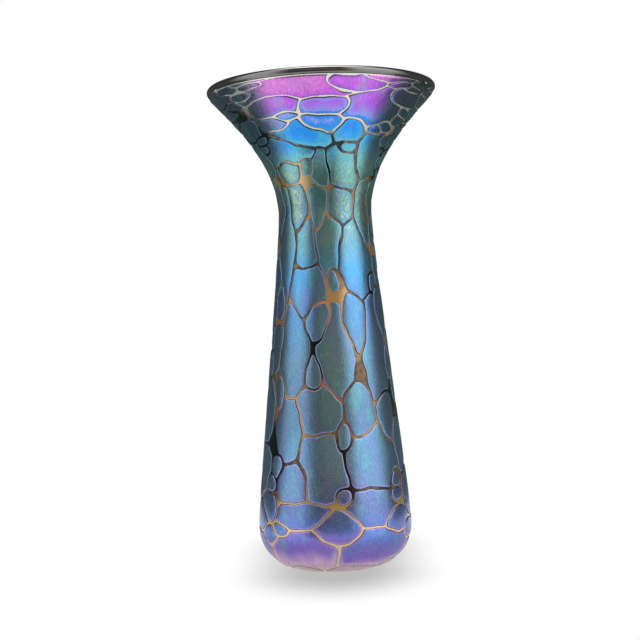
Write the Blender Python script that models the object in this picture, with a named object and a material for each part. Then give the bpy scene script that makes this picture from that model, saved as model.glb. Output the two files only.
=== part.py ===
"""Hand blown art glass vase, modelled layer by layer as it was gathered.

A hollow first gather of dark glass is cased in a second gather, whose sheared
rim is finished with a round lip wrap. A skin of silver-rich lustre glass lies
over the casing. It broke into islands as the vase was blown out, and each of
the large islands is a piece of its own.

Frame: metres, +Z up, origin on the floor under the middle of the foot. An
angle of 0 degrees faces -Y, the front, and grows towards +X.
"""
import math
import random

import bmesh
import bpy
from mathutils import Vector

MM = 0.001

# Form of the dark casing's outer surface
HEIGHT = 254 * MM            # floor to the top of the lip
FOOT_RADIUS = 28 * MM        # outer edge of the ground ring that the vase stands on
HEEL_RADIUS = 40.6 * MM      # widest place of the body
HEEL_HEIGHT = 20.2 * MM
WAIST_RADIUS = 24.5 * MM     # narrowest place of the neck
WAIST_HEIGHT = 187 * MM
LIP_RADIUS = 61 * MM         # outer edge of the lip wrap
LIP_ROUND = 1.9 * MM         # radius of the lip wrap's section
LIP_SEAT = 0.9 * MM          # depth of the wrap's flat under the middle of its section

# Slopes of the outline above the horizontal, and how far each stretch of it
# pulls along its end slopes, as shares of the stretch's height
FOOT_SLOPE = math.radians(44)
RIM_SLOPE = math.radians(53.5)
FOOT_PULLS = (0.06, 0.72)
BODY_PULLS = (0.09, 0.12)
NECK_PULLS = (0.49, 0.145)

# Glass
CASING_WALL = 1.6 * MM
GATHER_WALL_AT_HEEL = 3.0 * MM
GATHER_WALL_AT_RIM = 1.4 * MM
CASING_FLOOR = 4.0 * MM      # height of the casing's inner floor
GATHER_FLOOR = 12.0 * MM     # height of the vase's inner floor
BOWL_RISE = 22.0 * MM        # height over which that floor curves up into the wall
FOOT_RING = 7.0 * MM         # width of the ground ring
PONTIL_DEPTH = 2.2 * MM      # depth of the polished pontil hollow inside the ring
SKIN = 0.4 * MM              # thickness of the lustre islands
GAP = 0.3 * MM               # clearance between glass pieces that touch

# Lustre skin
CRACK = 1.6 * MM             # width of the cracks between islands
SKIN_TO_FLOOR = 2.0 * MM
SKIN_TO_LIP = 5.0 * MM       # from the islands' upper limit to the top of the lip
ISLAND_REACH = 1.25          # how far an island's edge may stand outside its own ellipse
FAR_ROUND = 100              # angle beyond which two islands can't meet
SEED = 7

# Mesh
TURN_STEPS = 36
FOOT_ROWS = 5
BODY_ROWS = 7
NECK_ROWS = 8
LIP_SIDES = 8
PONTIL_ROWS = 3
BOWL_ROWS = 5
SLIVER = 0.25 * MM           # corners of an island closer than this become one
MERGE = 0.001 * MM

# Large islands of the front: angle in degrees, height as a percentage of the vase's
# height, half width in degrees, half length as a percentage of the height, and lean
# in degrees, clockwise as seen from outside
FRONT_ISLANDS = [
    (-12, 96.2, 22, 1.5, 8),
    (12, 97.0, 12, 1.1, 12),
    (-25, 94.0, 12, 1.7, 0),
    (1, 93.4, 14, 1.4, 0),
    (29, 93.0, 15, 2.6, 10),
    (4, 90.5, 11, 1.5, 0),
    (-19, 88.4, 16, 1.7, 5),
    (20, 89.6, 8, 2.0, 0),
    (-35, 85.8, 16, 1.8, 8),
    (47, 84.5, 12, 3.6, 0),
    (-3, 81.3, 7, 3.2, 0),
    (22, 81.2, 16, 3.2, 0),
    (-8, 74.3, 9, 3.6, 0),
    (18, 75.3, 12, 3.2, 0),
    (-33, 74.3, 12, 3.8, 0),
    (51, 73.0, 10, 5.5, 0),
    (-24, 66.3, 12, 4.4, 0),
    (1, 66.8, 11, 5.0, 8),
    (37, 63.5, 14, 5.6, -6),
    (-52, 66.5, 11, 8.0, 0),
    (-22, 57.5, 13, 4.8, 0),
    (-11, 51.0, 8, 2.9, 10),
    (27, 50.5, 11, 4.4, 0),
    (7, 44.0, 12, 7.0, -4),
    (-38, 45.0, 10, 7.0, 8),
    (50, 45.0, 12, 7.5, 0),
    (22, 32.6, 13, 4.0, 0),
    (-9, 32.5, 16, 4.0, 0),
    (-38, 29.0, 10, 5.4, -6),
    (-6, 22.5, 19, 5.4, 0),
    (30, 23.0, 22, 4.8, 6),
    (-33, 18.5, 10, 3.4, -10),
    (32, 14.0, 15, 2.6, 12),
    (-27, 12.4, 15, 2.0, -6),
    (-24, 4.6, 25, 3.0, 0),
    (30, 4.6, 27, 3.0, 0),
]

# Rings of islands round the sides and the back: height and half length as
# percentages of the vase's height, and number of islands from side to side
BACK_RINGS = [
    (93.5, 4.2, 3),
    (82.5, 5.0, 3),
    (70.0, 6.6, 3),
    (55.0, 7.0, 3),
    (40.0, 6.6, 3),
    (25.5, 6.0, 3),
    (9.5, 7.0, 3),
]
BACK_FROM = 66               # angle at which the rings take over from the front islands
BACK_JITTER = 5              # most that an island of the back stands off its even place


def bezier(start, start_pull, end_pull, end, steps):
    """Points and directions along a cubic curve, both as (radius, height)."""
    curve = []
    for step in range(steps + 1):
        t = step / steps
        s = 1 - t
        place = s**3 * start + 3 * s * s * t * start_pull + 3 * s * t * t * end_pull + t**3 * end
        heading = s * s * (start_pull - start) + 2 * s * t * (end_pull - start_pull)
        heading += t * t * (end - end_pull)
        curve.append((place, heading.normalized()))
    return curve


def slope(angle):
    """Direction of a line that rises at this angle above the horizontal."""
    return Vector((math.cos(angle), math.sin(angle)))


def lip_centre():
    """Middle of the lip wrap's round section."""
    return Vector((LIP_RADIUS - LIP_ROUND, HEIGHT - LIP_ROUND))


def wall_at_rim():
    """Thickness of the wall that the lip wrap closes."""
    return CASING_WALL + GAP + GATHER_WALL_AT_RIM


def casing_curve():
    """Points and directions up the casing's outer surface, from the foot to the rim."""
    foot = Vector((FOOT_RADIUS, 0))
    heel = Vector((HEEL_RADIUS, HEEL_HEIGHT))
    waist = Vector((WAIST_RADIUS, WAIST_HEIGHT))
    climb = slope(RIM_SLOPE)
    outward = Vector((climb.y, -climb.x))
    rim = lip_centre() - (LIP_SEAT + GAP) * climb + wall_at_rim() / 2 * outward
    up = Vector((0, 1))
    foot_rise = heel.y - foot.y
    body_rise = waist.y - heel.y
    neck_rise = rim.y - waist.y
    curve = bezier(foot, foot + FOOT_PULLS[0] * foot_rise * slope(FOOT_SLOPE),
                   heel - FOOT_PULLS[1] * foot_rise * up, heel, FOOT_ROWS)
    curve += bezier(heel, heel + BODY_PULLS[0] * body_rise * up,
                    waist - BODY_PULLS[1] * body_rise * up, waist, BODY_ROWS)[1:]
    curve += bezier(waist, waist + NECK_PULLS[0] * neck_rise * up,
                    rim - NECK_PULLS[1] * neck_rise * climb, rim, NECK_ROWS)[1:]
    return curve


def offset(curve, depth):
    """The curve moved into the glass, by a depth that may change with height."""
    moved = []
    for place, heading in curve:
        inward = Vector((-heading.y, heading.x))
        moved.append(place + depth(place.y) * inward)
    return moved


def above(points, floor):
    """The part of a rising outline above a floor, with its corner on that floor."""
    kept = [point for point in points if point.y > floor]
    below = points[len(points) - len(kept) - 1]
    share = (floor - below.y) / (kept[0].y - below.y)
    return [below.lerp(kept[0], share)] + kept


def gather_depth(height):
    """Depth of the vase's inner wall under the casing's outer surface."""
    share = (height - HEEL_HEIGHT) / (HEIGHT - HEEL_HEIGHT)
    wall = GATHER_WALL_AT_HEEL + (GATHER_WALL_AT_RIM - GATHER_WALL_AT_HEEL) * min(max(share, 0), 1)
    return CASING_WALL + GAP + wall


def glass(name, colour, roughness, metallic):
    """A Principled material."""
    material = bpy.data.materials.new(name)
    material.use_nodes = True
    shader = material.node_tree.nodes["Principled BSDF"]
    shader.inputs["Base Color"].default_value = (*colour, 1)
    shader.inputs["Roughness"].default_value = roughness
    shader.inputs["Metallic"].default_value = metallic
    material.diffuse_color = (*colour, 1)
    return material


def add_object(name, shape, material):
    """Put a finished bmesh into the scene as one smooth-shaded object."""
    mesh = bpy.data.meshes.new(name)
    shape.to_mesh(mesh)
    shape.free()
    mesh.shade_smooth()
    mesh.set_sharp_from_angle(angle=math.radians(40))
    mesh.materials.append(material)
    obj = bpy.data.objects.new(name, mesh)
    bpy.context.collection.objects.link(obj)
    return obj


def turn(name, outline, closed, material):
    """Turn an outline of (radius, height) points round the vase's axis into a solid."""
    shape = bmesh.new()
    corners = [shape.verts.new((0, -point.x, point.y)) for point in outline]
    followers = corners[1:] + corners[:1] if closed else corners[1:]
    sides = [shape.edges.new(pair) for pair in zip(corners, followers)]
    bmesh.ops.spin(shape, geom=corners + sides, cent=(0, 0, 0), axis=(0, 0, 1),
                   angle=2 * math.pi, steps=TURN_STEPS)
    bmesh.ops.remove_doubles(shape, verts=shape.verts, dist=MERGE)
    bmesh.ops.recalc_face_normals(shape, faces=shape.faces)
    return add_object(name, shape, material)


def make_casing(curve):
    """Second gather: the black glass that shows in the cracks, with foot and pontil."""
    ring_inside = FOOT_RADIUS - FOOT_RING
    hollow = []
    for row in range(PONTIL_ROWS + 1):
        radius = ring_inside * row / PONTIL_ROWS
        hollow.append(Vector((radius, PONTIL_DEPTH * (1 - (radius / ring_inside) ** 2))))
    outside = [place for place, heading in curve]
    inside = above(offset(curve, lambda height: CASING_WALL), CASING_FLOOR)
    outline = hollow + outside + inside[::-1] + [Vector((0, CASING_FLOOR))]
    turn("dark_casing", outline, False, glass("casing_black", (0.02, 0.02, 0.025), 0.08, 0.3))


def make_gather(curve):
    """First gather: the blown bubble itself, with its thick floor and inner wall."""
    base = CASING_FLOOR + GAP
    outside = above(offset(curve, lambda height: CASING_WALL + GAP), base)
    inside = above(offset(curve, gather_depth), GATHER_FLOOR + BOWL_RISE)
    wall = inside[0]
    bowl = bezier(Vector((0, GATHER_FLOOR)), Vector((0.72 * wall.x, GATHER_FLOOR)),
                  wall - Vector((0, 0.7 * BOWL_RISE)), wall, BOWL_ROWS)
    bowl = [place for place, heading in bowl[:-1]]
    outline = [Vector((0, base))] + outside + (bowl + inside)[::-1]
    turn("inner_gather", outline, False, glass("gather_smoke", (0.03, 0.03, 0.04), 0.1, 0.0))


def make_lip_wrap():
    """Round bead of dark glass wrapped on the sheared rim."""
    climb = slope(RIM_SLOPE)
    outward = Vector((climb.y, -climb.x))
    open_angle = math.acos(LIP_SEAT / LIP_ROUND)
    outline = []
    for side in range(LIP_SIDES + 1):
        turned = math.pi - open_angle
        angle = -turned + 2 * turned * side / LIP_SIDES
        arm = math.cos(angle) * climb - math.sin(angle) * outward
        outline.append(lip_centre() + LIP_ROUND * arm)
    turn("lip_wrap", outline, True, glass("lip_black", (0.03, 0.03, 0.035), 0.05, 0.3))


class Island:
    """One island's place on the skin, its own directions there, and its half sizes."""

    def __init__(self, curve, angle, height, half_width, half_length, lean):
        self.angle = angle
        place, heading = self.on_curve(curve, height / 100 * HEIGHT)
        turned = math.radians(angle)
        radial = Vector((math.sin(turned), -math.cos(turned), 0))
        round_way = Vector((math.cos(turned), math.sin(turned), 0))
        up_way = Vector((heading.x * radial.x, heading.x * radial.y, heading.y))
        tilt = math.radians(lean)
        self.middle = Vector((place.x * radial.x, place.x * radial.y, place.y))
        self.across = math.cos(tilt) * round_way - math.sin(tilt) * up_way
        self.along = math.sin(tilt) * round_way + math.cos(tilt) * up_way
        self.half_width = math.radians(half_width) * place.x
        self.half_length = half_length / 100 * HEIGHT

    @staticmethod
    def on_curve(curve, height):
        """Point and direction of the casing's outline at a height."""
        for (low, low_heading), (high, high_heading) in zip(curve, curve[1:]):
            if low.y <= height <= high.y:
                share = (height - low.y) / (high.y - low.y)
                return low.lerp(high, share), low_heading.lerp(high_heading, share).normalized()
        return curve[-1]

    def reach(self, way):
        """Distance from the middle to the island's ellipse in a direction."""
        wide = way.dot(self.across) / self.half_width
        long = way.dot(self.along) / self.half_length
        return 1 / max(math.hypot(wide, long), 1e-6)

    def steepest(self, span):
        """Direction in which the ellipse's own measure grows fastest along a span."""
        wide = span.dot(self.across) / self.half_width**2
        long = span.dot(self.along) / self.half_length**2
        return wide * self.across + long * self.along

    def edge_planes(self):
        """Planes round the island that keep it near its ellipse."""
        planes = []
        for side in range(8):
            angle = math.pi / 4 * side
            point = self.half_width * math.cos(angle) * self.across
            point += self.half_length * math.sin(angle) * self.along
            planes.append((self.middle + ISLAND_REACH * point, self.steepest(point)))
        return planes

    def plane_towards(self, other):
        """The plane midway along a crack between two islands, or None if they are far apart."""
        span = other.middle - self.middle
        way = span.normalized()
        own, others = self.reach(way), other.reach(way)
        turned = abs((other.angle - self.angle + 180) % 360 - 180)
        if turned > FAR_ROUND or (own + others) * 1.5 < span.length:
            return None
        normal = self.steepest(way) + other.steepest(way)
        middle = self.middle + own / (own + others) * span
        return middle - CRACK / 2 * normal.normalized(), normal


def island_places(curve):
    """All islands: the front ones as placed, the rest in staggered rings."""
    islands = [Island(curve, *place) for place in FRONT_ISLANDS]
    chance = random.Random(SEED)
    room = 360 - 2 * BACK_FROM
    for height, half_length, count in BACK_RINGS:
        half_width = room / count / 2 * 0.95
        for index in range(count):
            angle = BACK_FROM + room * (index + 0.5) / count + chance.uniform(-1, 1) * BACK_JITTER
            lean = chance.uniform(-1, 1) * BACK_JITTER
            islands.append(Island(curve, angle, height, half_width, half_length, lean))
    return islands


def skin_sheet(curve, island):
    """The stretch of skin round an island, as a grid on the casing's own facets."""
    rows = offset(curve, lambda height: -GAP)
    step = 360 / TURN_STEPS
    half_turn = math.degrees(island.half_width / max(island.middle.xy.length, MM))
    first = math.floor((island.angle - 1.6 * half_turn) / step) - 1
    last = math.ceil((island.angle + 1.6 * half_turn) / step) + 1
    shape = bmesh.new()
    grid = []
    for column in range(first, last + 1):
        turned = math.radians(column * step)
        grid.append([shape.verts.new((row.x * math.sin(turned), -row.x * math.cos(turned), row.y))
                     for row in rows])
    for left, right in zip(grid, grid[1:]):
        for row in range(len(rows) - 1):
            shape.faces.new((left[row], right[row], right[row + 1], left[row + 1]))
    return shape


def cut_away(shape, point, normal):
    """Remove what lies beyond a plane, on the side that its normal points to."""
    everything = shape.verts[:] + shape.edges[:] + shape.faces[:]
    bmesh.ops.bisect_plane(shape, geom=everything, dist=MERGE, plane_co=point,
                           plane_no=normal.normalized(), clear_outer=True)


def make_island(curve, islands, index, material):
    """Cut one island out of the skin, between its neighbours, and give it its thickness."""
    island = islands[index]
    shape = skin_sheet(curve, island)
    cut_away(shape, Vector((0, 0, HEIGHT - SKIN_TO_LIP)), Vector((0, 0, 1)))
    cut_away(shape, Vector((0, 0, SKIN_TO_FLOOR)), Vector((0, 0, -1)))
    for point, normal in island.edge_planes():
        cut_away(shape, point, normal)
    for other in islands:
        if other is not island:
            plane = island.plane_towards(other)
            if plane:
                cut_away(shape, *plane)
    bmesh.ops.remove_doubles(shape, verts=shape.verts, dist=SLIVER)
    obj = add_object(f"skin_island_{index + 1:02d}", shape, material)
    thick = obj.modifiers.new("thickness", "SOLIDIFY")
    thick.thickness = SKIN
    thick.offset = 1
    thick.use_even_offset = True


def island_colour(height):
    """Lustre colour by height: pink at the heel, blue on the body, violet in the flare."""
    stops = [(0.0, (0.50, 0.33, 0.62)), (0.12, (0.40, 0.36, 0.72)), (0.35, (0.25, 0.42, 0.72)),
             (0.6, (0.16, 0.45, 0.75)), (0.78, (0.25, 0.55, 0.60)), (0.9, (0.08, 0.40, 0.85)),
             (1.0, (0.50, 0.22, 0.80))]
    for (low, low_colour), (high, high_colour) in zip(stops, stops[1:]):
        if height <= high:
            share = (height - low) / (high - low)
            return tuple(a + (b - a) * share for a, b in zip(low_colour, high_colour))
    return stops[-1][1]


def main():
    """Build every piece of the vase."""
    for obj in list(bpy.data.objects):
        bpy.data.objects.remove(obj)
    curve = casing_curve()
    make_gather(curve)
    make_casing(curve)
    make_lip_wrap()
    islands = island_places(curve)
    for index, island in enumerate(islands):
        colour = island_colour(island.middle.z / HEIGHT)
        material = glass(f"lustre_{index + 1:02d}", colour, 0.3, 0.9)
        make_island(curve, islands, index, material)


main()
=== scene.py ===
# %% [markdown]
# # A hand blown vase with a crackled lustre skin
#
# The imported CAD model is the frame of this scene. It has the right sizes, and plain facets. Each
# layer of glass gets a fine, smooth piece here, and the skin gets all its islands, down to the
# smallest. Everything rides on the one body, because nothing on a blown vase moves.

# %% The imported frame
import math

import bpy
import numpy as np
from mathutils import Matrix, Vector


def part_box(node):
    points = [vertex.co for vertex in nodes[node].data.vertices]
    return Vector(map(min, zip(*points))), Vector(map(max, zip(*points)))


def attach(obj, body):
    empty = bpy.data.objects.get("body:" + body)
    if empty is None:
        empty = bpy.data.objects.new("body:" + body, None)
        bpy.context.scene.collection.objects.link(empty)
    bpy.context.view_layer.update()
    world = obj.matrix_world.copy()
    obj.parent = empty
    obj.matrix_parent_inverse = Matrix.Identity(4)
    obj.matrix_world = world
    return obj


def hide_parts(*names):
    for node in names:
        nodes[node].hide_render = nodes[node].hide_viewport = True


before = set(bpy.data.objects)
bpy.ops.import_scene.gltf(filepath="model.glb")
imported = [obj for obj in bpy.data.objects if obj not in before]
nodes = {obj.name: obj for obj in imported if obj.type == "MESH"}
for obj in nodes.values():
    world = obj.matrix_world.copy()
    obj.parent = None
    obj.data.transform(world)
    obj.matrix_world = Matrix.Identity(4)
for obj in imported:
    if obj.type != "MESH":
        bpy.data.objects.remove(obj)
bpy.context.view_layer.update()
MM = 0.001

# %% [markdown]
# ## The camera
#
# The camera stands a little above the middle of the vase, about 60 cm away and not quite level. A
# long lens keeps the ellipses of the lip and the foot flat. The camera looks along +Y, is pitched
# down a little, turned a little to its left and rolled, so that the vase leans to the left.

# %% Camera
DISTANCE = 0.600
EYE_HEIGHT = 0.142
PITCH, YAW, ROLL = math.radians(-1.16), math.radians(0.44), math.radians(-1.95)

camera_data = bpy.data.cameras.new("camera")
camera_data.lens = 62.66
camera_data.sensor_width = 36
camera = bpy.data.objects.new("camera", camera_data)
bpy.context.scene.collection.objects.link(camera)
turn = Matrix.Rotation(YAW, 4, "Z") @ Matrix.Rotation(math.pi / 2 + PITCH, 4, "X")
camera.matrix_world = Matrix.Translation((0, -DISTANCE, EYE_HEIGHT)) @ turn @ Matrix.Rotation(ROLL, 4, "Z")
bpy.context.scene.camera = camera
bpy.context.scene.view_settings.view_transform = "Standard"
print("camera at", tuple(round(value, 3) for value in camera.location))

# %% [markdown]
# ## Node maths as Python
#
# A finish is easier to read as a formula than as a page of links. `Signal` wraps one output socket,
# and an expression on signals adds the Math nodes that it needs. Every other node comes from
# `Board.node`, which sets the node's own settings first and then its sockets.

# %% Signals and boards
class Signal:
    """One output socket, with Python's arithmetic."""

    def __init__(self, board, socket):
        self.board = board
        self.socket = socket

    def __add__(self, other):
        return self.board.maths("ADD", self, other)

    def __sub__(self, other):
        return self.board.maths("SUBTRACT", self, other)

    def __mul__(self, other):
        return self.board.maths("MULTIPLY", self, other)

    def __truediv__(self, other):
        return self.board.maths("DIVIDE", self, other)

    def __rsub__(self, other):
        return self.board.maths("SUBTRACT", other, self)

    __radd__ = __add__
    __rmul__ = __mul__


class Board:
    """The node tree of one material or world."""

    def __init__(self, tree):
        self.tree = tree

    def node(self, kind, output=0, settings=None, **sockets):
        """Add a node; sockets are named in lower case, with _ for a space, or as in3 by number."""
        made = self.tree.nodes.new(kind)
        for name, value in (settings or {}).items():
            if name == "stops":
                self.set_stops(made.color_ramp, value)
            else:
                setattr(made, name, value)
        for name, value in sockets.items():
            self.plug(self.find(made, name), value)
        return Signal(self, made.outputs[output]) if made.outputs else None

    def find(self, made, name):
        """The input socket that a keyword names."""
        if name.startswith("in") and name[2:].isdigit():
            return made.inputs[int(name[2:])]
        return next(s for s in made.inputs if s.name.lower().replace(" ", "_") == name and s.enabled)

    def set_stops(self, ramp, stops):
        """Give a colour ramp its stops, as (place, (red, green, blue))."""
        while len(ramp.elements) > 1:
            ramp.elements.remove(ramp.elements[-1])
        for index, (place, colour) in enumerate(stops):
            element = ramp.elements[0] if index == 0 else ramp.elements.new(place)
            element.position = place
            element.color = (*colour, 1)

    def plug(self, socket, value):
        """Link a signal to a socket, or set the socket's own value."""
        if isinstance(value, Signal):
            self.tree.links.new(value.socket, socket)
        else:
            socket.default_value = value

    def maths(self, operation, *values):
        """A Math node."""
        sockets = {f"in{index}": value for index, value in enumerate(values)}
        return self.node("ShaderNodeMath", settings={"operation": operation}, **sockets)

    def ramp(self, signal, stops):
        """A colour ramp over a signal that runs from 0 to 1."""
        made = self.node("ShaderNodeValToRGB", settings={"stops": stops}, fac=signal)
        made.socket.node.color_ramp.interpolation = "LINEAR"
        return made

    def steps(self, signal, low, high):
        """0 below low, 1 above high, and smooth in between."""
        return self.node("ShaderNodeMapRange", settings={"interpolation_type": "SMOOTHSTEP"},
                         value=signal, from_min=low, from_max=high)

    def mix(self, share, first, second, blend="MIX"):
        """Two colours mixed, or blended in another way."""
        made = self.tree.nodes.new("ShaderNodeMix")
        made.data_type = "RGBA"
        made.blend_type = blend
        self.plug(made.inputs[0], share)
        self.plug(made.inputs[6], first)
        self.plug(made.inputs[7], second)
        return Signal(self, made.outputs[2])

    def noise(self, place, scale, detail=2.0, roughness=0.5):
        """Noise from 0 to 1 at a place."""
        return self.node("ShaderNodeTexNoise", vector=place, scale=scale, detail=detail,
                         roughness=roughness)

    def attribute(self, name):
        """A number that the mesh holds at each corner."""
        return self.node("ShaderNodeAttribute", output=2, settings={"attribute_name": name})

    def split(self, vector):
        """The x, y and z of a vector."""
        made = self.node("ShaderNodeSeparateXYZ", vector=vector).socket.node
        return [Signal(self, made.outputs[axis]) for axis in range(3)]


def new_material(name):
    """A material with an empty board and its Principled shader."""
    material = bpy.data.materials.new(name)
    material.use_nodes = True
    shader = material.node_tree.nodes["Principled BSDF"]
    return material, Board(material.node_tree), shader


print("boards ready")

# %% [markdown]
# ## Light
#
# Lustre glass is a mirror first, so its light is a place as much as a brightness. A world made of
# soft windows does it: a broad one at each side of the vase, one overhead, dim walls behind, and a
# dark room with a faint doorway where the camera stands. The camera itself sees plain white.
#
# There are two floors. The one that the camera sees is plain white, with a soft shadow painted
# under the vase. The glass mirrors another, just above it and unseen by the camera: a patch near
# the vase that is lit, and dark beyond it, but for the sheen of the two side windows.

# %% World
world = bpy.data.worlds.new("soft_windows")
bpy.context.scene.world = world
world.use_nodes = True
world.node_tree.nodes.clear()
sky = Board(world.node_tree)
way = sky.node("ShaderNodeNewGeometry", output="Incoming")
x, y, z = sky.split(way)
azimuth = sky.maths("ARCTAN2", 0 - x, y) * (180 / math.pi)
rise = sky.maths("ARCSINE", 0 - z) * (180 / math.pi)


def window(middle, half_width, low, high, soft=14):
    """1 inside a window of the sky, given in degrees from the camera's side, and 0 outside."""
    across = sky.maths("ABSOLUTE", azimuth - middle)
    sideways = 1 - sky.steps(across, half_width - soft, half_width + soft)
    above_sill = sky.steps(rise, low - soft, low + soft)
    return sideways * above_sill * (1 - sky.steps(rise, high - soft, high + soft))


LEFT_WINDOW = (-66, 24, 0, 60)
RIGHT_WINDOW = (59, 27, 0, 60)
left = window(*LEFT_WINDOW) * 1.25
right = window(*RIGHT_WINDOW) * 1.7
overhead = sky.steps(rise, 58, 80) * 4.6
ahead = window(0, 30, -60, 50)
doorway = window(0, 16, 5, 11, 4)
room = 0.05 + 0.07 * ahead + 0.45 * doorway + left + right + overhead
behind_left = window(-142, 34, -30, 80)
behind_right = window(146, 30, -30, 80)
tint = sky.mix(behind_left, (1, 1, 1, 1), (0.9, 1.0, 1.1, 1))
tint = sky.mix(behind_right, tint, (0.95, 1.2, 0.75, 1))
tint = sky.mix(ahead, tint, (1.5, 1.0, 0.5, 1))
lit = sky.node("ShaderNodeBackground", color=tint, strength=room)
plain = sky.node("ShaderNodeBackground", color=(1, 1, 1, 1), strength=1.0)
seen = sky.node("ShaderNodeLightPath", output="Is Camera Ray")
both = sky.node("ShaderNodeMixShader", fac=seen, in1=lit, in2=plain)
sky.node("ShaderNodeOutputWorld", surface=both)
print("windows of light: left", LEFT_WINDOW, "right", RIGHT_WINDOW)

# %% Floor
FLOOR_RADIUS = 12.0                      # metres, as all of this cell
LIT_FLOOR, DARK_FLOOR = 0.22, 11.0       # radii of the lit patch and of the mirrored floor
SHADOW_FRONT, SHADOW_BACK = 0.026, 0.03  # how far the shadow's middle line reaches each way
SHADOW_CORE, SHADOW_END = 0.014, 0.066   # distances from that line
SHADOW_NARROWING = 1.2
WHITE, SHADE = (1, 1, 1, 1), (0.5, 0.5, 0.5, 1)
bpy.ops.object.select_all(action="DESELECT")
bpy.ops.mesh.primitive_circle_add(vertices=96, radius=FLOOR_RADIUS, fill_type="NGON")
floor = bpy.context.object
floor.name = "floor"
finish, board, shader = new_material("pale_floor")
x, y, z = board.split(board.node("ShaderNodeTexCoord", output="Object"))
before = board.maths("MINIMUM", y + SHADOW_FRONT, 0.0)
beyond = before + board.maths("MAXIMUM", y - SHADOW_BACK, 0.0)
away = board.maths("SQRT", x * x * SHADOW_NARROWING + beyond * beyond)
painted = board.mix(board.steps(away, SHADOW_CORE, SHADOW_END), SHADE, WHITE)
board.plug(shader.inputs["Emission Color"], painted)
shader.inputs["Base Color"].default_value = (0, 0, 0, 1)
shader.inputs["Emission Strength"].default_value = 1.0
shader.inputs["Roughness"].default_value = 1.0
shader.inputs["Specular IOR Level"].default_value = 0.0
floor.data.materials.append(finish)

bpy.ops.object.select_all(action="DESELECT")
bpy.ops.mesh.primitive_circle_add(vertices=96, radius=DARK_FLOOR, fill_type="NGON",
                                  location=(0, 0, 0.3 * MM))
mirrored_floor = bpy.context.object
mirrored_floor.name = "mirrored_floor"
finish, board, shader = new_material("mirrored_floor")
shader.inputs["Base Color"].default_value = (0, 0, 0, 1)
x, y, z = board.split(board.node("ShaderNodeTexCoord", output="Object"))
round_way = board.maths("ARCTAN2", x, 0 - y) * (180 / math.pi)
sheen = 0
for middle, half_width, low, high in (LEFT_WINDOW, RIGHT_WINDOW):
    across = board.maths("ABSOLUTE", round_way - middle)
    sheen = sheen + (1 - board.steps(across, half_width - 14, half_width + 14))
unlit = board.mix(sheen, (0.035, 0.072, 0.06, 1), (0.95, 0.95, 0.95, 1))
away = board.maths("SQRT", x * x + y * y)
# The lit patch is darker close to the vase: a painted shade of the vase on the floor that the glass
# mirrors
patch = board.mix(board.steps(away, 0.05, 0.15), (0.55, 0.55, 0.55, 1), (0.86, 0.86, 0.86, 1))
glow = board.mix(board.steps(away, LIT_FLOOR - 0.01, LIT_FLOOR + 0.01), patch, unlit)
board.plug(shader.inputs["Emission Color"], glow)
shader.inputs["Emission Strength"].default_value = 1.0
mirrored_floor.data.materials.append(finish)
mirrored_floor.visible_camera = False
mirrored_floor.visible_diffuse = False
mirrored_floor.visible_shadow = False
mirrored_floor.visible_transmission = False
print("floor lit to", LIT_FLOOR, "m in the glass")

# %% [markdown]
# ## The form
#
# Three smooth stretches make the outside of the dark casing: the turn of the heel, the tapering
# body and the flaring neck. The CAD model has the same curve, cut into facets. Here it is walked in
# fine steps, and each point keeps the direction that faces out of the glass, so that every other
# layer can be placed by its depth.

# %% Outline of the casing
HEIGHT = 254.0               # this cell and the pattern's cells count in millimetres
FOOT = (28.0, 0.0)           # (radius, height)
HEEL = (40.6, 20.2)
WAIST = (24.5, 187.0)
LIP_RADIUS, LIP_ROUND, LIP_SEAT = 61.0, 1.9, 0.9
CASING_WALL, GATHER_WALL_AT_HEEL, GATHER_WALL_AT_RIM, SEAM = 1.6, 3.0, 1.4, 0.3
FOOT_SLOPE, RIM_SLOPE = math.radians(44), math.radians(53.5)


def bezier(start, start_pull, end_pull, end, steps):
    """Points along a cubic curve."""
    t = np.linspace(0, 1, steps + 1)[:, None]
    s = 1 - t
    points = [np.array(point) for point in (start, start_pull, end_pull, end)]
    return s**3 * points[0] + 3 * s * s * t * points[1] + 3 * s * t * t * points[2] + t**3 * points[3]


climb = np.array((math.cos(RIM_SLOPE), math.sin(RIM_SLOPE)))
outward = np.array((climb[1], -climb[0]))
lip_centre = np.array((LIP_RADIUS - LIP_ROUND, HEIGHT - LIP_ROUND))
rim = lip_centre - (LIP_SEAT + SEAM) * climb + (CASING_WALL + SEAM + GATHER_WALL_AT_RIM) / 2 * outward
foot_way = np.array((math.cos(FOOT_SLOPE), math.sin(FOOT_SLOPE)))
body_rise, neck_rise = WAIST[1] - HEEL[1], rim[1] - WAIST[1]
curve = np.vstack([
    bezier(FOOT, FOOT + 0.06 * HEEL[1] * foot_way, (HEEL[0], 0.28 * HEEL[1]), HEEL, 60),
    bezier(HEEL, (HEEL[0], HEEL[1] + 0.09 * body_rise),
           (WAIST[0], WAIST[1] - 0.12 * body_rise), WAIST, 120)[1:],
    bezier(WAIST, (WAIST[0], WAIST[1] + 0.49 * neck_rise), rim - 0.145 * neck_rise * climb, rim, 90)[1:],
])
along = np.concatenate([[0], np.cumsum(np.hypot(*np.diff(curve, axis=0).T))])
heading = np.gradient(curve, along, axis=0)
heading /= np.hypot(*heading.T)[:, None]
facing = np.stack([heading[:, 1], -heading[:, 0]], axis=1)
low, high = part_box("dark_casing")
print("casing curve:", len(curve), "points,", round(along[-1], 1), "mm long; its rim stands",
      round(abs(curve[:, 0].max() - high.x / MM), 3), "mm from the CAD rim")

# %% [markdown]
# ## From cracks to a field
#
# The whole skin is unrolled onto a grid. At each grid point a field says how far inside an island
# the point lies, in millimetres: zero at an island's edge and less in a crack. Each crack adds its
# own nearness, and the sum is turned back into a distance. Where cracks meet, their nearness adds
# up, which rounds the islands' corners as surface tension rounded the hot glass.

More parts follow.
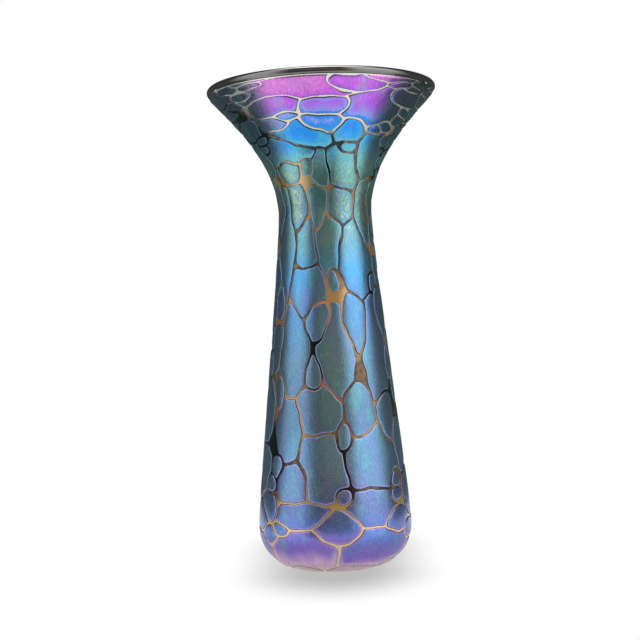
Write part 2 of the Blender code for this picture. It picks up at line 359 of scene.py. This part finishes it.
# %% Grid over the skin
FRONT_STEP, BACK_STEP = 0.3, 0.7        # degrees between columns, in front and behind
ROW_STEP = 0.3                           # mm
SKIN_FROM, SKIN_TO = 1.4, 249.9          # heights of the skin's lower and upper limit
SOFTNESS = 0.3                           # how far, in mm, cracks that meet round a corner

start, end = np.interp((SKIN_FROM, SKIN_TO), curve[:, 1], along)
rows = np.arange(start, end, ROW_STEP)
row_radius, row_height = (np.interp(rows, along, curve[:, axis]) for axis in (0, 1))
angles = np.concatenate([np.arange(-180, -78, BACK_STEP), np.arange(-78, 78, FRONT_STEP),
                         np.arange(78, 180, BACK_STEP)])
COLUMNS = len(angles)
ahead = (np.roll(angles, -1) - angles) % 360             # degrees from a column to the next one
nearness = np.zeros((len(rows), COLUMNS))
print("grid:", nearness.shape, "from", SKIN_FROM, "to", SKIN_TO, "mm")

# %% [markdown]
# The pattern follows a rule. The CAD model's islands in front are the first seeds, each with its own
# place and size, and smaller ones are scattered between them with the sizes that islands have at
# each height: long and upright on the body, wide and low in the flare. A crack runs wherever two
# seeds are equally near, counted in their own sizes, and knots open where every seed is far away.

# %% Seeds of the islands
ISLAND_SIZES = [                         # height, half width and half length in mm
    (0, 17, 11), (16, 15, 8), (26, 9, 7), (45, 8.5, 8), (60, 8, 15), (105, 7, 16), (130, 5.5, 10),
    (145, 5.5, 9), (165, 5.5, 12), (195, 5.5, 10), (212, 6, 7), (224, 8, 4.5), (236, 12, 4), (250, 14, 3),
]
CRACK_WIDTH = 0.8                        # mm
FRONT = 62                               # degrees to each side where the CAD islands are seeds
KNOT = 1.25                              # how far out, in seed sizes, the casing shows as a knot
chance = np.random.default_rng(12)


def between(first, second):
    """Degrees from the second angle to the first, the short way round."""
    return (first - second + 180) % 360 - 180


def model_seeds():
    """One seed for each of the CAD model's islands in front, from its own mesh."""
    found = []
    for name in sorted(nodes):
        if not name.startswith("skin_island"):
            continue
        low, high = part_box(name)
        middle = (low + high) / 2
        points = np.array([point.co[:] for point in bpy.data.objects[name].data.vertices]) / MM
        angle = math.degrees(math.atan2(middle.x, -middle.y))
        if abs(angle) > FRONT:
            continue
        turned_by = between(np.degrees(np.arctan2(points[:, 0], -points[:, 1])), angle)
        angle = angle + (turned_by.max() + turned_by.min()) / 2
        ends = np.interp((low.z / MM, high.z / MM), curve[:, 1], along)
        radius = np.interp(ends.mean(), along, curve[:, 0])
        wide = math.radians(np.ptp(turned_by)) * radius / 2
        found.append((angle, ends.mean(), wide, np.ptp(ends) / 2))
    return found


def scatter_seeds():
    """Seeds at least a size apart: angle, distance along the curve, half width, half length."""
    heights, half_widths, half_lengths = np.array(ISLAND_SIZES, float).T
    seeds = model_seeds()
    for _ in range(9000):
        place = chance.uniform(start - 4, end + 4)
        height, radius = (np.interp(place, along, curve[:, axis]) for axis in (1, 0))
        angle = chance.uniform(-180, 180)
        if chance.uniform(0, 62) > radius:
            continue
        size = chance.choice((0.5, 0.8, 1.0, 1.25), p=(0.22, 0.28, 0.3, 0.2))
        wide = size * np.interp(height, heights, half_widths)
        long = size * np.interp(height, heights, half_lengths)
        apart = all(math.hypot(between(angle, other[0]) * math.radians(radius) / (wide + other[2]),
                               (place - other[1]) / (long + other[3])) > 0.9 for other in seeds)
        if apart:
            seeds.append((angle, place, wide, long))
    return np.array(seeds)


seeds = scatter_seeds()
WAVES = [                                # turns round the vase, length, phase and size
    (5, 9, 0.3, 0.7), (-9, 5, 1.9, 0.5), (17, 3.1, 4.0, 0.28), (-31, 2.2, 5.1, 0.16),
]
wave = sum(np.sin(np.radians(angles[None, :] * turns) + rows[:, None] / length + phase) * size
           for turns, length, phase, size in WAVES)
for index, (row, radius) in enumerate(zip(rows, row_radius)):
    across = between(angles[:, None], seeds[None, :, 0])
    across = across * math.radians(radius) + wave[index][:, None]
    up = row - seeds[None, :, 1] + 0.8 * wave[index][::-1][:, None]
    sizes = np.hypot(across / seeds[None, :, 2], up / seeds[None, :, 3])
    far = np.hypot(across, up)
    order = np.argpartition(sizes, 3, axis=1)[:, :4]
    size4, far4 = np.take_along_axis(sizes, order, 1), np.take_along_axis(far, order, 1)
    sort = np.argsort(size4, axis=1)
    size4, far4 = np.take_along_axis(size4, sort, 1), np.take_along_axis(far4, sort, 1)
    slope = size4 / far4
    for other in (1, 2, 3):
        gap = (size4[:, other] - size4[:, 0]) / (slope[:, other] + slope[:, 0]) - CRACK_WIDTH / 2
        nearness[index] += np.exp(-gap / SOFTNESS)
    farther = 0.4 * (row_height[index] > 205) + 0.9 * np.clip((34 - row_height[index]) / 10, 0, 1)
    knot = (KNOT + farther - size4[:, 0]) / slope[:, 0]
    nearness[index] += np.exp(-np.clip(knot, -6, None) / SOFTNESS)
inside = -SOFTNESS * np.log(nearness + 1e-9)
print("seeds:", len(seeds), "field from", round(inside.min(), 1), "to", round(inside.max(), 1), "mm")

# %% [markdown]
# ## Islands of glass
#
# The grid becomes the islands. Grid corners close to an island's edge are slid onto it, so the edges
# are smooth lines and not stairs, and cells outside are left out. Each island is then lifted off
# the casing with a rolled edge, as a soft sheet of glass has, and a slightly domed middle. Islands
# are found by walking from cell to cell, and each gets a number of its own for its tone of colour.

# %% Corners slid onto the edges
RISE, ROLL_WIDTH, DOME, DOME_WIDTH, SUNK = 0.34, 0.55, 0.2, 2.3, 0.12

both_sides = np.radians(ahead + np.roll(ahead, 1)) * row_radius[:, None]
column_step = np.radians(np.minimum(ahead, np.roll(ahead, 1))) * row_radius[:, None]
slope_up = np.gradient(inside, ROW_STEP, axis=0)
slope_across = (np.roll(inside, -1, 1) - np.roll(inside, 1, 1)) / both_sides
steepness = np.maximum(slope_up**2 + slope_across**2, 0.2)
near_edge = np.abs(inside) < 0.5 * np.minimum(np.maximum(column_step, ROW_STEP), 0.6)
slide_up = np.where(near_edge, -inside * slope_up / steepness, 0).clip(-0.45 * ROW_STEP, 0.45 * ROW_STEP)
slide_across = np.where(near_edge, -inside * slope_across / steepness, 0)
slide_across = slide_across.clip(-0.45 * column_step, 0.45 * column_step)
depth = np.where(near_edge, 0, inside)
corner_along = np.clip(rows[:, None] + slide_up, rows[0], rows[-1])
corner_angle = np.radians(angles)[None, :] + slide_across / row_radius[:, None]
depth[0] = np.minimum(depth[0], 0)
depth[-1] = np.minimum(depth[-1], 0)
print("corners slid onto edges:", int(near_edge.sum()))

# %% Islands found by walking
walkable = depth > 0
label = np.zeros(depth.shape, int)
count = 0
for start_row, start_column in zip(*np.nonzero(walkable)):
    if label[start_row, start_column]:
        continue
    count += 1
    label[start_row, start_column] = count
    stack = [(start_row, start_column)]
    while stack:
        row, column = stack.pop()
        for near_row, near_column in ((row - 1, column), (row + 1, column),
                                      (row, (column - 1) % COLUMNS), (row, (column + 1) % COLUMNS)):
            if (0 <= near_row < len(rows) and walkable[near_row, near_column]
                    and not label[near_row, near_column]):
                label[near_row, near_column] = count
                stack.append((near_row, near_column))
area = np.bincount(label.ravel())
heights = np.broadcast_to(row_height[:, None], label.shape)
middle = np.bincount(label.ravel(), weights=heights.ravel()) / area
tones = np.random.default_rng(5).uniform(0, 1, count + 1)
print("islands:", count, "of which", int((area[1:] > 60).sum()), "are larger than a crumb")

# %% Lifted and cut into cells
roll = np.sqrt(1 - (1 - np.clip(depth / ROLL_WIDTH, 0, 1)) ** 2)
lift = RISE * roll + DOME * (1 - np.exp(-np.maximum(depth, 0) / DOME_WIDTH)) - SUNK * (depth <= 0)
place = [np.interp(corner_along, along, curve[:, axis]) for axis in (0, 1)]
out = [np.interp(corner_along, along, facing[:, axis]) for axis in (0, 1)]
radius = place[0] + lift * out[0]
height = place[1] + lift * out[1]
corners = np.stack([radius * np.sin(corner_angle), -radius * np.cos(corner_angle), height], axis=-1) * MM
valid = depth >= 0


def cells():
    """Faces as rows of four corner numbers, three-cornered ones with -1, and each face's island."""
    number = np.arange(depth.size).reshape(depth.shape)
    beside = np.roll(number, -1, 1)
    quad = np.stack([number[:-1], beside[:-1], beside[1:], number[1:]], axis=-1).reshape(-1, 4)
    good = valid.ravel()[quad]
    owner = label.ravel()[quad].max(axis=1)
    whole = quad[(good.sum(1) == 4) & (owner > 0)]
    whole_owner = owner[(good.sum(1) == 4) & (owner > 0)]
    part = (good.sum(1) == 3) & (owner > 0)
    corner = quad[part][good[part]].reshape(-1, 3)
    corner = np.hstack([corner, np.full((len(corner), 1), -1)])
    return np.vstack([whole, corner]), np.concatenate([whole_owner, owner[part]])


faces, owners = cells()
keep = area[owners] > 8
faces, owners = faces[keep], owners[keep]
island_of = label.ravel().copy()          # edge corners take the number of an island that uses them
for corner in faces.T:
    used = corner >= 0
    np.maximum.at(island_of, corner[used], owners[used])
print("cells:", len(faces))

# %% [markdown]
# ## Finishes
#
# The skin's colour is a thin film's, so it follows the film's thickness: violet high in the flare,
# where the glass was drawn out most, then azure and teal at the neck and periwinkle blue down the body.
# An island's edge was stretched less, and its colour runs a step behind the face's. Along its rolled
# edge it is painted lighter, a painted highlight, and at its foot near black, a painted shade. The
# flare's sides are painted slate, a painted shade, and a yellow-green glimmer on the neck is a painted
# highlight. Under the film the skin is metallic and satin, and between the islands black glass shows,
# with a fume of gold in some places and none in others.

# %% Colours
def paint(red, green, blue):
    """A colour as a screen shows it, 0 to 255, turned into light."""
    return tuple((value / 255) ** 2.2 for value in (red, green, blue))


FACE_COLOURS = [                         # share of the height, colour
    (0.00, paint(222, 190, 196)), (0.02, paint(226, 184, 230)), (0.047, paint(144, 112, 212)),
    (0.087, paint(104, 134, 214)), (0.138, paint(114, 136, 192)), (0.197, paint(114, 152, 200)),
    (0.256, paint(104, 154, 200)), (0.315, paint(92, 140, 180)), (0.374, paint(94, 144, 176)),
    (0.433, paint(98, 148, 182)), (0.492, paint(90, 150, 202)), (0.551, paint(88, 144, 204)),
    (0.610, paint(70, 164, 224)), (0.670, paint(100, 168, 188)), (0.728, paint(90, 158, 178)),
    (0.776, paint(106, 164, 162)), (0.819, paint(120, 196, 190)), (0.850, paint(62, 184, 238)),
    (0.872, paint(18, 154, 255)), (0.890, paint(36, 146, 255)), (0.905, paint(144, 166, 255)),
    (0.928, paint(182, 98, 244)), (0.965, paint(220, 106, 240)), (0.984, paint(228, 134, 228)),
]
# Colours along each island's rolled edge: a step behind the face's, and lighter, which is a painted
# highlight
EDGE_TINTS_AND_HIGHLIGHTS = [
    (0.00, paint(200, 176, 196)), (0.05, paint(178, 146, 206)), (0.12, paint(160, 156, 226)),
    (0.25, paint(150, 166, 232)), (0.45, paint(146, 176, 228)), (0.60, paint(120, 176, 240)),
    (0.70, paint(110, 186, 240)), (0.80, paint(96, 196, 236)), (0.86, paint(70, 160, 250)),
    (0.91, paint(120, 130, 250)), (0.95, paint(200, 120, 230)), (1.00, paint(230, 140, 180)),
]
FUME_COLOURS = [
    (0.00, paint(250, 236, 206)), (0.12, paint(220, 190, 128)), (0.20, paint(204, 160, 104)),
    (0.34, paint(192, 152, 106)), (0.55, paint(204, 170, 124)), (0.76, paint(206, 168, 114)),
    (0.84, paint(214, 192, 146)), (0.92, paint(240, 230, 208)), (1.00, paint(244, 246, 240)),
]
print("colours ready")


# %% Places on the glass
def round_place(board, turns, rises):
    """A place for noise that is even all round the vase: it grows with the angle and the height."""
    x, y, z = board.split(board.node("ShaderNodeTexCoord", output="Object"))
    radius = board.maths("SQRT", x * x + y * y)
    place = board.node("ShaderNodeCombineXYZ", x=x / radius * turns, y=y / radius * turns, z=z * rises)
    return place, z / (HEIGHT * MM)


# %% Lustre
def lustre():
    """The skin's own finish, with painted highlights and painted shade."""
    material, board, shader = new_material("lustre_skin")
    patches, share = round_place(board, 2.2, 16)
    streaks, _ = round_place(board, 56, 560)
    grains, _ = round_place(board, 75, 2000)
    edge = board.attribute("edge")
    tone = board.attribute("tone")
    cloud = board.noise(patches, 1.0, detail=3)
    fine = board.noise(streaks, 1.0, detail=4, roughness=0.65)
    grain = board.noise(grains, 1.0, detail=1)
    blots, _ = round_place(board, 5, 60)
    hue = board.noise(blots, 1.0, detail=4, roughness=0.6)
    x, y, z = board.split(board.node("ShaderNodeTexCoord", output="Object"))
    angle = board.maths("ARCTAN2", x, 0 - y) * (180 / math.pi)
    inner = board.steps(edge, 0.8, 3.2)
    shift = (tone - 0.5) * 0.035 + (cloud - 0.5) * 0.06 + (fine - 0.5) * 0.04 + (inner - 1) * 0.02
    face = board.ramp(share + shift, FACE_COLOURS)
    # A yellow-green glimmer on the neck, kept out of the dark middle in front: a painted highlight
    glimmer_highlight = board.steps(share, 0.66, 0.74) * (1 - board.steps(share, 0.82, 0.87)) * inner
    glimmer_highlight = glimmer_highlight * board.steps(fine + 0.6 * cloud, 0.72, 1.0)
    glimmer_highlight = glimmer_highlight * board.steps(board.maths("ABSOLUTE", angle + 1), 9, 17) * 0.8
    face = board.mix(glimmer_highlight, face, (*paint(196, 214, 140), 1))
    # side: the flare's two sides, where it mirrors the dark room, are turned slate: painted shade
    side = board.steps(0 - angle, 24, 43) + board.steps(angle, 38, 50)
    side = side * (1 - board.steps(board.maths("ABSOLUTE", angle), 100, 130))
    side = side * board.steps(share, 0.80, 0.90)
    face = board.mix(side * 0.9, face, (*paint(84, 116, 124), 1))
    face = board.mix(board.steps(hue, 0.50, 0.66) * 0.3, face, (*paint(110, 196, 190), 1))
    face = board.mix((1 - board.steps(hue, 0.34, 0.50)) * 0.25, face, (*paint(150, 130, 210), 1))
    edge_tint_and_highlight = board.ramp(share + shift, EDGE_TINTS_AND_HIGHLIGHTS)
    # rim: the lighter line along the rolled edge, a painted highlight, fainter low on the vase and on the
    # shaded sides
    rim = (1 - board.steps(edge, 0.5, 1.1)) * (0.75 - 0.4 * board.steps(share, 0.16, 0.3) + 0.25 * cloud)
    rim = rim * (1 - 0.8 * side)
    colour = board.mix(rim, face, edge_tint_and_highlight)
    colour = board.mix(1.0, colour, 0.45 + 1.1 * fine, "MULTIPLY")
    colour = board.mix(board.steps(grain, 0.80, 0.86) * 0.6, colour, (0.8, 0.8, 0.8, 1))
    # outline: the colour at each island's foot, near black above the heel and lavender low on it: a
    # painted shade
    outline = board.mix(board.steps(share, 0.07, 0.1), (0.46, 0.33, 0.5, 1), (0.008, 0.008, 0.02, 1))
    colour = board.mix(board.steps(edge, 0.1, 0.44), outline, colour)
    board.plug(shader.inputs["Base Color"], colour)
    shader.inputs["Metallic"].default_value = 0.92
    board.plug(shader.inputs["Roughness"], 0.13 + 0.14 * fine + 0.06 * cloud)
    thinner_above = 0.55 * board.steps(share, 0.83, 0.89)
    thinner_below = 0.65 * (1 - board.steps(share, 0.12, 0.28))
    board.plug(shader.inputs["Coat Weight"], 1 - thinner_above - thinner_below)
    shader.inputs["Coat Roughness"].default_value = 0.5
    shader.inputs["Coat IOR"].default_value = 1.6
    wrinkles = board.node("ShaderNodeBump", strength=0.5, distance=0.12 * MM, height=fine)
    board.plug(shader.inputs["Normal"], wrinkles)
    return material


# %% Dark glass
def fumed_glass():
    """The casing: black glass, with a metallic fume where the mesh says so."""
    material, board, shader = new_material("casing_glass")
    patches, share = round_place(board, 14, 300)
    cloud = board.noise(patches, 1.0, detail=3, roughness=0.6)
    # fumed: the fume, with the painted reflections of the windows and the lit floor in it
    fumed = board.steps(board.attribute("fume_and_reflection") + (cloud - 0.5) * 0.5, 0.2, 0.75)
    red = 0.75 * board.attribute("copper")
    colour = board.mix(fumed, (0.004, 0.004, 0.005, 1), board.ramp(share, FUME_COLOURS))
    colour = board.mix(red, colour, (*paint(214, 112, 84), 1))
    board.plug(shader.inputs["Base Color"], colour)
    board.plug(shader.inputs["Metallic"], 0.8 * fumed * (1 - red))
    board.plug(shader.inputs["Roughness"], 0.08 + 0.18 * fumed)
    return material


def clear_dark_glass(name, colour, bend, roughness):
    """Dark glass without a pattern."""
    material, board, shader = new_material(name)
    shader.inputs["Base Color"].default_value = (*colour, 1)
    shader.inputs["IOR"].default_value = bend
    shader.inputs["Roughness"].default_value = roughness
    return material


skin = lustre()
casing_glass = fumed_glass()
gather_glass = clear_dark_glass("gather_glass", (0.012, 0.013, 0.016), 1.5, 0.08)
lip_glass = clear_dark_glass("lip_glass", (0.03, 0.024, 0.027), 2.7, 0.06)
print("finishes ready")

# %% [markdown]
# ## The turned layers
#
# Casing, gather and lip are turned from outlines, as the maker turned them on the pipe.

# %% Turned pieces
TURN_STEPS = 256


def turned(name, outline, closed, material):
    """Turn an outline of (radius, height) points in millimetres into a piece of glass."""
    mesh = bpy.data.meshes.new(name)
    count = len(outline)
    sides = [(index, index + 1) for index in range(count - 1)] + ([(count - 1, 0)] if closed else [])
    mesh.from_pydata([(radius * MM, 0, height * MM) for radius, height in outline], sides, [])
    piece = bpy.data.objects.new(name, mesh)
    bpy.context.scene.collection.objects.link(piece)
    bpy.ops.object.select_all(action="DESELECT")
    piece.select_set(True)
    bpy.context.view_layer.objects.active = piece
    bpy.ops.object.modifier_add(type="SCREW")
    screw = piece.modifiers[-1]
    screw.steps = screw.render_steps = TURN_STEPS
    screw.use_merge_vertices = True
    screw.merge_threshold = 0.001 * MM
    bpy.ops.object.modifier_apply(modifier=screw.name)
    bpy.ops.object.mode_set(mode="EDIT")
    bpy.ops.mesh.select_all(action="SELECT")
    bpy.ops.mesh.normals_make_consistent(inside=False)
    bpy.ops.object.mode_set(mode="OBJECT")
    bpy.ops.object.shade_smooth_by_angle(angle=math.radians(40))
    piece.data.materials.append(material)
    return piece


def inset(depths):
    """The casing's outer curve moved into the glass."""
    return curve - np.broadcast_to(depths, len(curve))[:, None] * facing


def above(points, floor):
    """The part of a rising outline above a floor."""
    first = int(np.argmax(points[:, 1] > floor))
    share = (floor - points[first - 1, 1]) / (points[first, 1] - points[first - 1, 1])
    return np.vstack([points[first - 1] + share * (points[first] - points[first - 1]), points[first:]])


CASING_FLOOR, GATHER_FLOOR, BOWL_RISE, FOOT_RING, PONTIL_DEPTH = 4.0, 12.0, 22.0, 7.0, 2.2
ring = FOOT[0] - FOOT_RING
pontil = [(ring * t, PONTIL_DEPTH * (1 - t * t)) for t in np.linspace(0, 1, 12)]
inner_side = above(inset(CASING_WALL), CASING_FLOOR)[::5]
casing_outline = np.vstack([pontil, curve, inner_side[::-1], [(0, CASING_FLOOR)]])
casing = turned("casing", casing_outline, False, casing_glass)

wall = np.interp(curve[:, 1], (HEEL[1], HEIGHT), (GATHER_WALL_AT_HEEL, GATHER_WALL_AT_RIM))
base = CASING_FLOOR + SEAM
outer_side = above(inset(CASING_WALL + SEAM), base)[::5]
inner_wall = above(inset(CASING_WALL + SEAM + wall), GATHER_FLOOR + BOWL_RISE)
bowl = bezier((0, GATHER_FLOOR), (0.72 * inner_wall[0, 0], GATHER_FLOOR),
              (inner_wall[0, 0], inner_wall[0, 1] - 0.7 * BOWL_RISE), inner_wall[0], 24)
gather_outline = np.vstack([[(0, base)], outer_side, inner_wall[::-1], bowl[-2::-1]])
gather = turned("gather", gather_outline, False, gather_glass)

open_angle = math.acos(LIP_SEAT / LIP_ROUND)
turns = np.linspace(open_angle - math.pi, math.pi - open_angle, 33)[:, None]
bead = lip_centre + LIP_ROUND * (np.cos(turns) * climb - np.sin(turns) * outward)
lip = turned("lip", bead, True, lip_glass)
for piece in (casing, gather, lip):
    print(piece.name, len(piece.data.polygons), "faces")

# %% [markdown]
# The fume is a film of gold that settled on the hot casing. It shows in the cracks as cream in the
# flare and the heel. On the body it comes and goes in a slow wave, with copper low in the wave. Where
# the cracks mirror the side windows, and in front of the flare where they mirror the lit floor, more
# of it is laid: a painted reflection.

# %% Fume
def number_corners(piece, title, values):
    """Give a piece one number for each corner of its mesh."""
    piece.data.attributes.new(title, "FLOAT", "POINT").data.foreach_set("value", values.astype(np.float32))


spots = np.empty(len(casing.data.vertices) * 3)
casing.data.vertices.foreach_get("co", spots)
x, y, z = spots.reshape(-1, 3).T / MM
angle = np.degrees(np.arctan2(x, -y))
# Two bands where the cracks mirror the side windows get fume as well: a painted reflection
window_reflection_bands = 0.36 * (np.clip(2 - np.abs(angle + 31) / 8, 0, 1) + np.clip(2 - np.abs(angle - 27) / 8, 0, 1))
drift = 0.5 + 0.5 * np.sin(np.radians(3 * angle) + z / 13) * np.cos(np.radians(2 * angle) - z / 29 + 1)
# The flare's cream stops 38 to 46 degrees to each side of the front, where its cracks mirror the lit
# floor: fume, and partly a painted reflection
cream = np.clip((z - 222) / 6, 0, 1) * (1 - np.clip((np.abs(angle) - 38) / 8, 0, 1))
cream = np.maximum(cream, 1 - np.clip((z - 34) / 8, 0, 1))
number_corners(casing, "fume_and_reflection", np.maximum(cream, np.maximum(window_reflection_bands * (z < 222), drift * 0.8)))
ripple = np.clip(1.8 * np.sin(z / 6.5 + np.radians(4 * angle)) - 0.9, 0, 1)
on_body = np.clip((z - 84) / 6, 0, 1) * np.clip((204 - z) / 6, 0, 1)
number_corners(casing, "copper", ripple * on_body * np.clip(2 - np.abs(angle) / 7, 0, 1))
print("fumed share of the casing:", round(float((cream > 0.5).mean()), 2))

# %% [markdown]
# ## The islands
#
# The skin is kept in nine pieces, from heel to flare, and no island is split between two. Each
# piece carries the skin's own map, the unrolled sheet, and two numbers for the finish: how far a
# point is from its island's edge, and the island's tone.

# %% Island pieces
# piece, material slot, lowest share of the height
ZONES = [("flare_upper", "flare", 0.93), ("flare_lower", "flare", 0.86), ("neck_upper", "neck", 0.74),
         ("neck_lower", "neck", 0.62), ("body_upper", "body", 0.51), ("body_middle", "body", 0.40),
         ("body_lower", "body", 0.28), ("heel_upper", "heel", 0.16), ("heel_lower", "heel", 0.0)]
centre_share = middle / HEIGHT
flat_corners = corners.reshape(-1, 3)
flat_edge = np.maximum(depth, 0).ravel()
flat_turn = (corner_angle / (2 * math.pi) + 0.5).ravel()
flat_along = ((corner_along - rows[0]) / (rows[-1] - rows[0])).ravel()


def island_piece(name, chosen):
    """One mesh of islands from the chosen rows of faces."""
    used, local = np.unique(chosen[chosen >= 0], return_inverse=True)
    numbered = np.full(chosen.shape, -1)
    numbered[chosen >= 0] = local
    mesh = bpy.data.meshes.new(name)
    polygons = [[corner for corner in face if corner >= 0] for face in numbered.tolist()]
    mesh.from_pydata(flat_corners[used], [], polygons)
    mesh.validate()
    turn = flat_turn[used]
    up = flat_along[used]
    up = (up - up.min()) / (up.max() - up.min())
    corner_of = np.empty(len(mesh.loops), int)
    mesh.loops.foreach_get("vertex_index", corner_of)
    starts = np.empty(len(mesh.polygons), int)
    mesh.polygons.foreach_get("loop_start", starts)
    u, v = turn[corner_of], up[corner_of]
    highest = np.maximum.reduceat(u, starts)
    sizes = np.diff(np.append(starts, len(u)))
    u = np.where((np.repeat(highest, sizes) > 0.9) & (u < 0.5), u + 1, u)
    uv = mesh.uv_layers.new(name="OFBake")
    uv.data.foreach_set("uv", (np.stack([u, v], axis=1) * 0.99 + 0.004).ravel())
    mesh.shade_smooth()
    mesh.materials.append(skin)
    piece = bpy.data.objects.new(name, mesh)
    bpy.context.scene.collection.objects.link(piece)
    number_corners(piece, "edge", flat_edge[used])
    number_corners(piece, "tone", tones[island_of[used]])
    return piece


island_pieces = {}
ceiling = 1e9
for zone, slot, floor_share in ZONES:
    chosen = (centre_share[owners] >= floor_share) & (centre_share[owners] < ceiling)
    island_pieces[zone] = island_piece("islands_" + zone, faces[chosen])
    ceiling = floor_share
    print("islands_" + zone, int(chosen.sum()), "cells")

# %% [markdown]
# ## Onto the frame

# %% Ride and replace
for piece in (casing, gather, lip, *island_pieces.values()):
    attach(piece, "root")
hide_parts("dark_casing")
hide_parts("inner_gather")
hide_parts("lip_wrap")
for name in sorted(nodes):
    if name.startswith("skin_island"):
        low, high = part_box(name)
        share = (low.z + high.z) / 2 / (HEIGHT * MM)
        zone = next(zone for zone, slot, floor_share in ZONES if share >= floor_share)
        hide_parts(name)
print("replaced nodes:", len(nodes))
